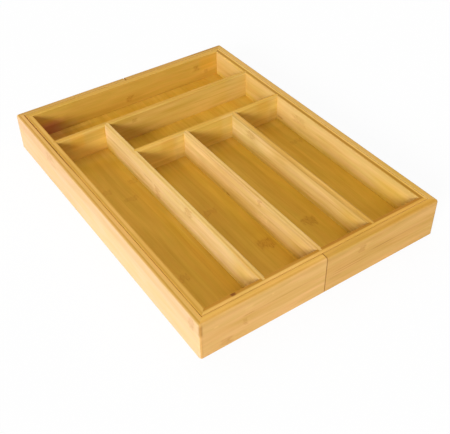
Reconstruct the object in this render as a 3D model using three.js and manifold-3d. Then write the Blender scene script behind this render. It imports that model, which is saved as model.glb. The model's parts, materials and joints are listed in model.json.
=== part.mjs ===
// Expandable bamboo drawer organizer, shown closed: a six-compartment tray between two outer
// halves, which slide out to the left and right and uncover two more compartments.
// Millimetres, +Z up. The origin is the middle of the closed organizer, on the surface it stands on.
// X runs along the slides and Y along the long compartments, from the front to the back.
import * as THREE from "three";
import { mergeVertices } from "three/addons/utils/BufferGeometryUtils.js";
import Module from "manifold-3d";

// Outside of the closed organizer
const closedWidth = 325;
const length = 444;
const height = 51;

// Where the two halves meet: a little left of the middle, with a hairline between them
const seamX = -2;
const seamGap = 0.4;

// Boards
const outerBoard = 8.5;
const innerBoard = 7.5;

// Edges: the rim outside, the two edges along the sliding gap, the edges of the compartments
const rimRadius = 3;
const gapRadius = 1.2;
const compartmentRadius = 2.5;
const seamEase = 0.8;
const arcSteps = 2;

// Fits: beside and under the sliding tray, round a runner in its groove, and in the glued joints
const sideGap = 0.7;
const underGap = 0.4;
const runnerPlay = 0.3;
const glueGap = 0.25;

// Floors: thickness, and how far each stands above the lower edge of its own walls
const halfFloorThickness = 3.5;
const halfFloorLift = 3;
const trayFloorThickness = 4;
const trayFloorLift = 3.5;
const floorTongue = 3;

// Compartments: how wide the two cross ones are, and how many long ones share the width
const crossWidth = 66.5;
const longCount = 4;
const housingDepth = 3;

// Runners: bamboo keys in the tray's walls that ride in stopped grooves in the halves
const runnerLength = 20;
const runnerHeight = 4.4;
const runnerMiddle = 26;
const runnerSeat = 2.5;
const runnerInset = 2.3;
const grooveDepth = 3.5;
const grooveStop = 10.3;

// How far a cut runs past the piece that it cuts
const overrun = 1;

// Heights that follow
const halfFloorTop = halfFloorLift + halfFloorThickness;
const trayBottom = halfFloorTop + underGap;
const trayFloorBottom = trayBottom + trayFloorLift;
const trayFloorTop = trayFloorBottom + trayFloorThickness;

// Plan sizes that follow, each half of the whole
const outsideX = closedWidth / 2;
const outsideY = length / 2;
const trayX = outsideX - outerBoard - sideGap;
const trayY = outsideY - outerBoard - sideGap;
const insideX = trayX - innerBoard;
const insideY = trayY - innerBoard;

// Dividers that follow: two across, and the rest along, evenly spaced
const longPitch = (2 * insideX + innerBoard) / longCount;
const rearCrossY = insideY - crossWidth - innerBoard / 2;
const secondCrossY = rearCrossY - innerBoard - crossWidth;
const firstLongX = longPitch - insideX - innerBoard / 2;

const bamboo = { wall: 0xdcab5f, end: 0xf0c98c, divider: 0xe2b46c, floor: 0xb98a33, runner: 0xc79a52 };

const quarterTurn = Math.PI / 2;
const wasm = await Module();
wasm.setup();

// Solids
function toSolid(geometry) {
  geometry.deleteAttribute("normal");
  geometry.deleteAttribute("uv");
  const merged = mergeVertices(geometry);
  const vertProperties = merged.getAttribute("position").array;
  const triVerts = new Uint32Array(merged.getIndex().array);
  return new wasm.Manifold(new wasm.Mesh({ numProp: 3, vertProperties, triVerts }));
}

function toGeometry(solid) {
  const { vertProperties, triVerts } = solid.getMesh();
  const geometry = new THREE.BufferGeometry();
  geometry.setAttribute("position", new THREE.BufferAttribute(vertProperties, 3));
  geometry.setIndex(new THREE.BufferAttribute(triVerts, 1));
  geometry.computeVertexNormals();
  return geometry;
}

function block([x0, x1], [y0, y1], [z0, z1]) {
  const geometry = new THREE.BoxGeometry(x1 - x0, y1 - y0, z1 - z0);
  geometry.translate((x0 + x1) / 2, (y0 + y1) / 2, (z0 + z1) / 2);
  return toSolid(geometry);
}

// A section drawn in y and z, swept along x
function sweep(section, x0, x1) {
  const geometry = new THREE.ExtrudeGeometry(section, {
    depth: x1 - x0,
    bevelEnabled: false,
    curveSegments: arcSteps,
  });
  geometry.rotateX(quarterTurn);
  geometry.rotateZ(quarterTurn);
  geometry.translate(x0, 0, 0);
  return toSolid(geometry);
}

// An outline drawn in x and y, raised from one height to another
function raise(outline, z0, z1) {
  const geometry = new THREE.ExtrudeGeometry(outline, {
    depth: z1 - z0,
    bevelEnabled: false,
    curveSegments: arcSteps,
  });
  geometry.translate(0, 0, z0);
  return toSolid(geometry);
}

// The section of an upright board between y0 and y1, with its two top edges rounded
function boardSection([y0, y1], [z0, z1], radius0, radius1) {
  const section = new THREE.Shape();
  section.moveTo(y0, z0);
  section.lineTo(y1, z0);
  section.absarc(y1 - radius1, z1 - radius1, radius1, 0, quarterTurn);
  section.absarc(y0 + radius0, z1 - radius0, radius0, quarterTurn, 2 * quarterTurn);
  section.closePath();
  return section;
}

// The plan of a wall from x = 0, its outer face on y = 0. A mitred end has its outer corner rounded,
// and a square end has it eased. Each mitre stands back by the glue gap.
function wallPlan({ span, thickness, radius, mitredStart, mitredEnd }) {
  const plan = new THREE.Shape();
  const eighthTurn = quarterTurn / 2;
  const back = glueGap;
  if (mitredEnd) {
    plan.moveTo(span - back - thickness, thickness);
  } else {
    plan.moveTo(span, thickness);
  }
  if (mitredStart) {
    plan.lineTo(back + thickness, thickness);
    plan.absarc(back + radius, radius, radius, 5 * eighthTurn, 6 * eighthTurn);
  } else {
    plan.lineTo(0, thickness);
    plan.lineTo(0, seamEase);
    plan.lineTo(seamEase, 0);
  }
  if (mitredEnd) {
    plan.absarc(span - back - radius, radius, radius, 6 * eighthTurn, 7 * eighthTurn);
  } else {
    plan.lineTo(span - seamEase, 0);
    plan.lineTo(span, seamEase);
  }
  plan.closePath();
  return plan;
}

// A wall of the outer halves or of the tray, along x from 0, its inner face towards +y, with the
// groove that holds the edge of its floor
function wall({ span, thickness, bottom, outerRadius, innerRadius, floor, mitredStart, mitredEnd }) {
  const section = boardSection([0, thickness], [bottom, height], outerRadius, innerRadius);
  const plan = wallPlan({ span, thickness, radius: outerRadius, mitredStart, mitredEnd });
  const board = sweep(section, 0, span).intersect(raise(plan, bottom - overrun, height + overrun));
  const floorGroove = block(
    [-overrun, span + overrun],
    [thickness - floorTongue - glueGap, thickness + overrun],
    [floor.bottom - glueGap, floor.top + glueGap],
  );
  return board.subtract(floorGroove);
}

const halfFloorHeights = { bottom: halfFloorLift, top: halfFloorTop };
const trayFloorHeights = { bottom: trayFloorBottom, top: trayFloorTop };

function halfWall(span, mitredStart, mitredEnd) {
  return wall({
    span,
    thickness: outerBoard,
    bottom: 0,
    outerRadius: rimRadius,
    innerRadius: gapRadius,
    floor: halfFloorHeights,
    mitredStart,
    mitredEnd,
  });
}

function trayWall(span) {
  return wall({
    span,
    thickness: innerBoard,
    bottom: trayBottom,
    outerRadius: gapRadius,
    innerRadius: compartmentRadius,
    floor: trayFloorHeights,
    mitredStart: true,
    mitredEnd: true,
  });
}

// A divider from x0 to x1, centred on y = 0 and standing on the tray's floor. Grown by a margin, it
// is the housing that its end is glued into.
function divider(x0, x1, margin) {
  const halfThickness = innerBoard / 2 + margin;
  const section = boardSection(
    [-halfThickness, halfThickness],
    [trayFloorTop + glueGap - margin, height + margin],
    compartmentRadius,
    compartmentRadius,
  );
  return sweep(section, x0, x1);
}

// A housing at a place along a board, cut into the face at y from the side that the divider is on
function housing(x, faceY, side) {
  const end = faceY - side * (housingDepth + glueGap);
  const past = faceY + side * overrun;
  const cut = divider(Math.min(end, past), Math.max(end, past), glueGap);
  return cut.rotate([0, 0, 90]).translate([x, 0, 0]);
}

// Runners: the key's section in y and z is one block, from its seat in the tray's wall to near the
// bottom of the groove. Distances are from the tray's outer face, outwards.
const runnerReach = sideGap + grooveDepth - runnerPlay;
const runnerZ = [runnerMiddle - runnerHeight / 2, runnerMiddle + runnerHeight / 2];
const runnerOutboard = trayX - runnerInset;
const runnerInboard = runnerOutboard - runnerLength;

function runnerSeatCut(x0) {
  return block(
    [x0 - glueGap, x0 + runnerLength + glueGap],
    [-overrun, runnerSeat + glueGap],
    [runnerZ[0] - glueGap, runnerZ[1] + glueGap],
  );
}

// The stopped groove in a half's wall, from just past the runner's outer end to the stop
function runnerGroove(x0, x1) {
  return block(
    [x0, x1],
    [outerBoard - grooveDepth, outerBoard + overrun],
    [runnerZ[0] - runnerPlay, runnerZ[1] + runnerPlay],
  );
}

// Pieces
const organizer = new THREE.Group();

function addPiece(group, name, solid, colour, position, turns = 0) {
  const material = new THREE.MeshStandardMaterial({ color: colour, roughness: 0.5, metalness: 0 });
  const mesh = new THREE.Mesh(toGeometry(solid), material);
  mesh.name = name;
  mesh.position.set(...position);
  mesh.rotation.z = turns * quarterTurn;
  group.add(mesh);
}

// Tray: four mitred walls in a ring, each from the corner where its local x starts
const tray = new THREE.Group();
organizer.add(tray);

const longDividers = [];
for (let i = 0; i < longCount - 1; i += 1) {
  longDividers.push(firstLongX + i * longPitch);
}

let trayFront = trayWall(2 * trayX);
for (const x of longDividers) {
  trayFront = trayFront.subtract(housing(x + trayX, innerBoard, 1));
}
let trayBack = trayWall(2 * trayX);
for (const x of [trayX - runnerOutboard, trayX + runnerInboard]) {
  trayFront = trayFront.subtract(runnerSeatCut(x));
  trayBack = trayBack.subtract(runnerSeatCut(x));
}
const trayRight = trayWall(2 * trayY)
  .subtract(housing(rearCrossY + trayY, innerBoard, 1))
  .subtract(housing(secondCrossY + trayY, innerBoard, 1));
const trayLeft = trayWall(2 * trayY).subtract(housing(trayY - rearCrossY, innerBoard, 1));

addPiece(tray, "tray_front_wall", trayFront, bamboo.wall, [-trayX, -trayY, 0]);
addPiece(tray, "tray_right_wall", trayRight, bamboo.wall, [trayX, -trayY, 0], 1);
addPiece(tray, "tray_back_wall", trayBack, bamboo.wall, [trayX, trayY, 0], 2);
addPiece(tray, "tray_left_wall", trayLeft, bamboo.wall, [-trayX, trayY, 0], 3);

const trayFloor = block(
  [-insideX - floorTongue, insideX + floorTongue],
  [-insideY - floorTongue, insideY + floorTongue],
  [trayFloorBottom, trayFloorTop],
);
addPiece(tray, "tray_floor", trayFloor, bamboo.floor, [0, 0, 0]);

// Dividers across: the rear one spans the tray, the second one runs from the first long divider
const housedX = insideX + housingDepth;
const housedY = insideY + housingDepth;
const halfBoard = innerBoard / 2;
const firstLong = longDividers[0];

const rearCross = divider(-housedX, housedX, 0).subtract(housing(firstLong, -halfBoard, -1));
let secondCross = divider(firstLong + halfBoard - housingDepth, housedX, 0);
for (const x of longDividers.slice(1)) {
  secondCross = secondCross.subtract(housing(x, -halfBoard, -1));
}
addPiece(tray, "rear_cross_divider", rearCross, bamboo.divider, [0, rearCrossY, 0]);
addPiece(tray, "second_cross_divider", secondCross, bamboo.divider, [0, secondCrossY, 0]);

// Dividers along: the first reaches the rear cross divider, the others the second one
const longNames = ["left", "middle", "right"];
longDividers.forEach((x, i) => {
  const crossY = i === 0 ? rearCrossY : secondCrossY;
  const reach = crossY - halfBoard + housingDepth;
  let longDivider = divider(-housedY, reach, 0);
  if (i === 0) {
    longDivider = longDivider.subtract(housing(secondCrossY, -halfBoard, -1));
  }
  const name = `long_divider_${longNames[i] ?? i + 1}`;
  addPiece(tray, name, longDivider, bamboo.divider, [x, 0, 0], 1);
});

// Runner keys, two in the front wall and two in the back wall
const runner = block([0, runnerLength], [0, runnerSeat + runnerReach], runnerZ);
for (const [row, y] of [["front", -trayY - runnerReach], ["back", trayY - runnerSeat]]) {
  addPiece(tray, `${row}_left_runner`, runner, bamboo.runner, [-runnerOutboard, y, 0]);
  addPiece(tray, `${row}_right_runner`, runner, bamboo.runner, [runnerInboard, y, 0]);
}

// Halves: an end wall, a front and a back wall that stop at the seam, and a floor
const grooveOutboard = outsideX - runnerOutboard - runnerPlay;

for (const [name, side] of [["left", -1], ["right", 1]]) {
  const half = new THREE.Group();
  organizer.add(half);
  const seamFace = seamX + side * seamGap / 2;
  const endFace = side * outsideX;
  const span = outsideX - side * seamFace;

  const endWall = halfWall(length, true, true);
  addPiece(half, `${name}_end_wall`, endWall, bamboo.end, [endFace, side * -outsideY, 0], side);

  const cornerGroove = runnerGroove(grooveOutboard, span - grooveStop);
  const seamGroove = runnerGroove(grooveStop, span - grooveOutboard);
  const fromCorner = halfWall(span, true, false).subtract(cornerGroove);
  const fromSeam = halfWall(span, false, true).subtract(seamGroove);
  const front = side < 0 ? fromCorner : fromSeam;
  const back = side < 0 ? fromSeam : fromCorner;
  const frontX = Math.min(seamFace, endFace);
  const backX = Math.max(seamFace, endFace);
  addPiece(half, `${name}_front_wall`, front, bamboo.wall, [frontX, -outsideY, 0]);
  addPiece(half, `${name}_back_wall`, back, bamboo.wall, [backX, outsideY, 0], 2);

  const floorReachX = outsideX - outerBoard + floorTongue;
  const floorReachY = outsideY - outerBoard + floorTongue;
  const floorX = [seamFace, side * floorReachX].sort((a, b) => a - b);
  const floor = block(floorX, [-floorReachY, floorReachY], [halfFloorLift, halfFloorTop]);
  addPiece(half, `${name}_floor`, floor, bamboo.floor, [0, 0, 0]);
}

export default organizer;
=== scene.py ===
# Expandable bamboo drawer organizer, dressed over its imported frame: every board, floor and runner key
# is modelled again with its fine edges, joints and bamboo, and stands on a plain white stage.
# Metres, in the frame of the CAD: X along the slides, Y from the front to the back, Z up.
import json
import math
from functools import partialmethod

import bmesh
import bpy
from mathutils import Matrix, Vector

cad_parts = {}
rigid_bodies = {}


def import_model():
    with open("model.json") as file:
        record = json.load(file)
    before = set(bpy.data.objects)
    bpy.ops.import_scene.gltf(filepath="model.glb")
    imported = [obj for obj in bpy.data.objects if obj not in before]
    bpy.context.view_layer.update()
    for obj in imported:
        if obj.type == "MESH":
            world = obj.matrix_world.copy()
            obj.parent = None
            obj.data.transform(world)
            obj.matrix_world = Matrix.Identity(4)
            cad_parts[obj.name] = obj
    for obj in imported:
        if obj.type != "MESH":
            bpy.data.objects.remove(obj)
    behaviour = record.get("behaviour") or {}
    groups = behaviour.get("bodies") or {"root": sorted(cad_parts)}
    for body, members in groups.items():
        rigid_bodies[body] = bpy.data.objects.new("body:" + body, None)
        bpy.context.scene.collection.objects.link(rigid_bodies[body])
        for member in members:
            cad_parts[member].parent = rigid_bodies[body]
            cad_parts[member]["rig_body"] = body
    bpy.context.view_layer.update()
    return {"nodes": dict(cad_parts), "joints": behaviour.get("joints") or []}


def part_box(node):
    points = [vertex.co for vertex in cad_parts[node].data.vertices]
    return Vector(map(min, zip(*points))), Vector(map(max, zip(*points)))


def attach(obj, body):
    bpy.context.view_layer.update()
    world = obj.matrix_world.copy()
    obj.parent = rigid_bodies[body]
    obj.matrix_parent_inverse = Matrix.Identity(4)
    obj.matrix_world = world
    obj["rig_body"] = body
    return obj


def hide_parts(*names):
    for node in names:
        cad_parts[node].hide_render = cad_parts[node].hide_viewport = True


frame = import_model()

bl_info = {
    "name": "Bamboo drawer organizer",
    "version": (1, 0, 0),
    "blender": (4, 5, 0),
    "location": "View3D > Sidebar > Organizer",
    "description": "Models an expandable bamboo drawer organizer over its frame, board by board",
    "category": "Object",
}

TRAVEL = {joint["child"]: joint["range_m"][1] for joint in frame["joints"]}

MM = 0.001
TINY = 1e-6
# How far a groove's cutter stands out of its board, and how far a wall may stop short of its ring's corner
OVERRUN = 2 * MM
MITRE_REACH = 2 * MM
# Edges sharper than this are eased, and edges flatter than the second are shaded smooth
SQUARE_ANGLE = math.radians(60)
SMOOTH_ANGLE = math.radians(32)
# Facets of an eased edge, a finer one, a key's half-round end and the rod that hollows the seam
EASE_SEGMENTS = 3
FINE_SEGMENTS = 2
KEY_SEGMENTS = 8
ROD_SEGMENTS = 20
# A key's end rounding as a share of its height, just under the half where two arcs would meet
KEY_ROUNDING = 0.49

# Blocks of other colour in the bamboo: a length past any board's, the depth of a patch through the
# face, how far a band spreads into its soft edges, and the soft share of each kind
ENDLESS = 2.0
PATCH_DEPTH = 8
BAND_SPREAD = 1.25
SPOT_SOFTNESS = 0.6
BAND_SOFTNESS = 0.45
END_SOFTNESS = 0.5

# The white floor's half width, how far it lies below the object and its colour, and the camera's
# sensor and range
FLOOR_REACH = 4
FLOOR_DROP = 0.2 * MM
CLOTH = (0.9, 0.9, 0.9, 1)
WHITE = (1, 1, 1, 1)
SENSOR_WIDTH = 36
CLIPPING = (0.01, 100)

# A board's own frame: x runs along its grain, y through it from its outer face, and z across it.
# Each row gives where those three point in the object.
WAYS = {
    "front": ((1, 0, 0), (0, 1, 0), (0, 0, 1)),
    "right": ((0, 1, 0), (-1, 0, 0), (0, 0, 1)),
    "back": ((-1, 0, 0), (0, -1, 0), (0, 0, 1)),
    "left": ((0, -1, 0), (1, 0, 0), (0, 0, 1)),
    "flat": ((0, 1, 0), (0, 0, 1), (1, 0, 0)),
}

TRAY_SIDES = ("front", "right", "back", "left")
TRAY_RING = [f"tray_{side}_wall" for side in TRAY_SIDES]
OUTER_RING = [f"{side}_{row}_wall" for side in ("left", "right") for row in ("end", "front", "back")]

CROSS_DIVIDERS = ["rear_cross_divider", "second_cross_divider"]
LONG_DIVIDERS = ["long_divider_left", "long_divider_middle", "long_divider_right"]
# The dividers whose ends are glued into each board
HOUSED = {
    "tray_front_wall": LONG_DIVIDERS,
    "tray_right_wall": CROSS_DIVIDERS,
    "tray_left_wall": CROSS_DIVIDERS[:1],
    "rear_cross_divider": LONG_DIVIDERS[:1],
    "second_cross_divider": LONG_DIVIDERS[1:],
    "long_divider_left": CROSS_DIVIDERS[1:],
}
RUNNERS = [f"{row}_{side}_runner" for row in ("front", "back") for side in ("left", "right")]

# What each material slot has: its colour in the panel, its first board's seed, the width of the strips
# that a board is glued up from and where one joint between them lies, both in millimetres, and how
# strong the streaks are
BAMBOOS = {
    "end_wall": ("end", 3, 31.5, 0, 0.35),
    "half_wall": ("wall", 11, 17, 0, 1),
    "tray_wall": ("wall", 21, 17, 0, 1),
    "divider": ("divider", 31, 17, 0, 1.5),
    "floor": ("floor", 41, 21.7, -6.5, 1),
    "runner": ("runner", 51, 17, 0, 1),
}
# How strong the knuckles of the cane are on the floors of the halves
FLOOR_KNUCKLES = 0.5

# Noise in the bamboo: cells to the metre along the grain and across it, detail and roughness
NOISES = {
    "sway": (45, 210, 2, 0.5),
    "fleck": (240, 800, 3, 0.6),
    "wander": (9, 30, 1, 0.5),
    "drift": (7, 90, 2, 0.5),
    "streak": (12, 260, 3, 0.55),
    "vein": (26, 640, 2, 0.5),
    "fibre": (42, 2400, 2, 0.6),
    "mottle": (20, 110, 1, 0.5),
}

# How much each part of the grain deepens the colour, from none at 0 to the deep tone at 1
DEEPENS = {"ground": 0.34, "lines": 1.2, "veins": 0.4, "strips": 0.25, "dashes": 0.13, "joint": 0.22}

# Where each soft edge in the grain starts and ends
FADES = {
    "side": (0.75, 1.02), "band": (0.4, 1.1), "rims": (0.04, 0.36), "halo": (0.1, 0.75),
    "fleck": (0.46, 0.62), "dashes": (0.56, 0.7), "mottle": (0.35, 0.65), "rough": (-0.4, 1.4),
    "joint": (0.05 * MM, 0.25 * MM),
}

# The finish: how strong and high the raised grain is, the bare wood's reflection, and the lacquer
BUMP = 0.25
FIBRE_HEIGHT = 0.1 * MM
SHEEN_LEVEL = 0.1
COAT_ROUGHNESS = 0.28

# The cooler and the warmer tinge that the tone changes between, the finish's least and greatest
# roughness, and how high each part of the grain stands, as a share of a fibre's height
MOTTLES = ((0.97, 0.98, 0.92, 1), (1.03, 1.01, 1.08, 1))
ROUGHNESS = (0.5, 0.66)
HEIGHTS = {"dashes": -0.5, "streaks": 0.5, "joint": -0.6}

# How far one board's grain is from the next one's and one strip's from its neighbour's, the step in
# the chance tones from board to board, and how far the grain wanders
SEED_SHIFT = (0.61, 0.37, 0.83)
STRIP_SHIFT = 0.173
TONE_STEP = 7.31
WANDER = 10 * MM

# The knuckles that come with the cane: from one to the next along a strip, how far each strip's are
# moved on from its neighbour's, and their length
KNUCKLE_SPACING = 0.236
KNUCKLE_STEP = 0.0917
KNUCKLE_LENGTH = 11 * MM
# The width of a knuckle's teeth and where they start; how far it zigzags and sways and where its
# darker rims and its pale halo lie, in halves of its length; how much it and its flecks darken
TOOTH = 7 * MM
TOOTH_START = 10.25
ZIGZAG = 0.7
SWAY = 3.2
RIM_AT = 0.6
HALO_AT = 1.55
KNUCKLE_GROUND = 0.3
KNUCKLE_FLECKS = 0.4
# The share of a knuckle's strength that its pale halo has
HALO_SHARE = 0.4

# Tints that multiply the bamboo where a mark or a band lies; several of them paint shade or light, as noted
BROWN = (0.7, 0.52, 0.36)
DARK = (0.45, 0.3, 0.2)
OLIVE = (0.83, 0.75, 0.5)
TOBACCO = (0.69, 0.55, 0.22)
UMBER = (0.62, 0.5, 0.17)
# Painted shade: the dark red of the shadowed back-left corner of the tray, on its back wall and floor
RED_CORNER_SHADE = (0.86, 0.6, 1.4)
# This and the next are lighter tints: pale flecks and a knuckle's halo, and painted light where a shade is
# lifted or a lit face or edge is paled
PALE = (1.1, 1.14, 1.22)
CREAM = (1.22, 1.26, 1.3)
PINK = (1.05, 1.03, 1.12)
AMBER = (1.08, 0.98, 0.72)
HONEY = (0.96, 0.77, 0.38)
# A yellower tone for the tops of the front walls, which keeps the painted light of their faces off the tops
STRAW = (1, 0.94, 0.62)
HAZEL = (0.95, 0.88, 0.88)
GOLD = (0.9, 0.76, 0.57)
CORNER = (0.62, 0.5, 0.34)
# Painted shade towards the back of the left end wall's outer face
DUSK = (0.97, 0.94, 0.95)
# Painted shade: darker and yellower low on faces and floors, in corners, at the front ends of the floors and
# along the top of the front walls
SHADE_TINT = (0.9, 0.87, 0.74)
# Painted shade at the foot of a face, where it meets the floor
FOOT_SHADE = (0.97, 0.96, 0.6)
# Mostly the painted shadow of the tray's front wall on the faces of the dividers
FRONT = (0.93, 0.88, 0.68)
# Painted fill light, bluer, where light bounces into shaded corners and beside lit faces
PAINTED_FILL = (1, 1.06, 1.45)
# A bluer tint: painted light on the floor and on a lit divider face
COOL = (0.9, 0.97, 1.2)
MOSS = (0.79, 0.74, 0.5)
DIM = (0.98, 0.95, 0.64)
SHADY = (0.83, 0.8, 0.78)
ROSY = (0.97, 0.9, 0.88)

# How each board differs from the bamboo of its kind: partly its own tone and partly painted light, as the
# paler lit faces of the long dividers and of the tray's right wall and the paler front of the left half
SHADES = {
    "right_end_wall": (0.98, 1.05, 1.1),
    "left_front_wall": (1.06, 1.07, 1.5),
    "right_front_wall": (0.94, 0.92, 1.07),
    "left_back_wall": (0.88, 0.88, 0.86),
    "right_back_wall": (0.88, 0.88, 0.86),
    "tray_left_wall": (0.98, 0.95, 0.85),
    "tray_front_wall": (1, 0.96, 0.9),
    "tray_back_wall": (0.94, 0.97, 0.65),
    "tray_right_wall": (1.01, 1.18, 1.72),
    "rear_cross_divider": (0.95, 1.04, 0.93),
    "second_cross_divider": (1.05, 1.18, 1),
    "long_divider_left": (1.01, 1.22, 2.15),
    "long_divider_middle": (0.95, 1.07, 1.65),
    "long_divider_right": (0.92, 1.05, 1.52),
}

# Bands along the top of a board: partly other fibres where the router has gone through, partly painted shade
# and painted highlight on the roundings and along the gap, and tints that keep a face's painted light off the
# top.
# From and to in millimetres from the board's outer face, or a divider's right or front face, tint and
# strength.
# A bound past the board's thickness lets the band's soft edge run out over the rounding.
TOPS = {
    "left_end_wall": [(1.5, 9, HONEY, 1), (0.7, 4.1, MOSS, 1), (7, 9, AMBER, 0.7)],
    "right_end_wall": [(-1, 9, HONEY, 1), (1, 7.4, OLIVE, 0.5)],
    "left_front_wall": [(1.7, 9, STRAW, 1), (1.3, 4, OLIVE, 0.25), (4.2, 6.8, PALE, 0.6)],
    "right_front_wall": [
        (0.9, 9, STRAW, 1), (0.8, 8, MOSS, 0.25), (0.8, 4.6, MOSS, 0.35), (5.6, 7, PALE, 0.3),
    ],
    "left_back_wall": [(1.5, 6, BROWN, 0.3), (0, 9, OLIVE, 0.3)],
    "right_back_wall": [(1.5, 6, BROWN, 0.3), (0, 9, OLIVE, 0.3)],
    # The inner band is painted shade on the rounding that turns away from the lamps
    "tray_front_wall": [(0.6, 3, PALE, 0.9), (4, 8, TOBACCO, 0.95)],
    "tray_left_wall": [
        (-0.5, 0.9, CREAM, 0.3), (0.2, 3.2, OLIVE, 0.8), (4, 7.5, PALE, 0.3), (6.4, 9, OLIVE, 0.9),
    ],
    "tray_back_wall": [(0, 6.5, HAZEL, 1)],
    # A painted highlight along the gap's edge and painted shade just inside it
    "tray_right_wall": [
        (-1, 7, HONEY, 0.7), (-0.5, 2, CREAM, 1), (2.6, 6, UMBER, 1), (5.6, 7.2, OLIVE, 0.5),
    ],
    # On the dividers, the first band keeps the faces' painted light off the top, the pale bands along the
    # right edge are painted sheen, and the greyer ones painted shade
    "long_divider_left": [(-1, 7, HONEY, 0.7), (0.2, 3.6, PALE, 0.9), (4.8, 7.6, SHADY, 0.7)],
    "long_divider_middle": [
        (-1, 7, HONEY, 0.45), (0, 4.2, CREAM, 0.75), (5, 7.7, SHADY, 0.9), (4.9, 6.6, OLIVE, 0.2),
    ],
    "long_divider_right": [
        (-1, 7, HONEY, 0.8), (0.2, 2.6, OLIVE, 0.9), (2.8, 5.5, CREAM, 0.35), (5.4, 8, SHADY, 1),
        (6.2, 8.4, OLIVE, 0.7),
    ],
    # The greyer bands on the cross dividers are painted shade
    "rear_cross_divider": [(1.2, 9, GOLD, 1), (-0.4, 1.6, HAZEL, 0.4), (0.5, 2.5, SHADY, 0.3)],
    "second_cross_divider": [
        (1.2, 9, GOLD, 1), (-0.4, 1.6, HAZEL, 1), (0.5, 3, SHADY, 0.5), (4.4, 9, OLIVE, 0.7),
    ],
}

# The dark end grain at the seam, with the seam's shade painted into it, by board: its width in millimetres,
# both sides of the end taken together, and its strength
SEAM_GRAIN_AND_SHADE = {
    "left_front_wall": (1.4, 0.5), "right_front_wall": (1.4, 0.5),
    "left_back_wall": (1.4, 0.4), "right_back_wall": (3.4, 1),
}

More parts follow.
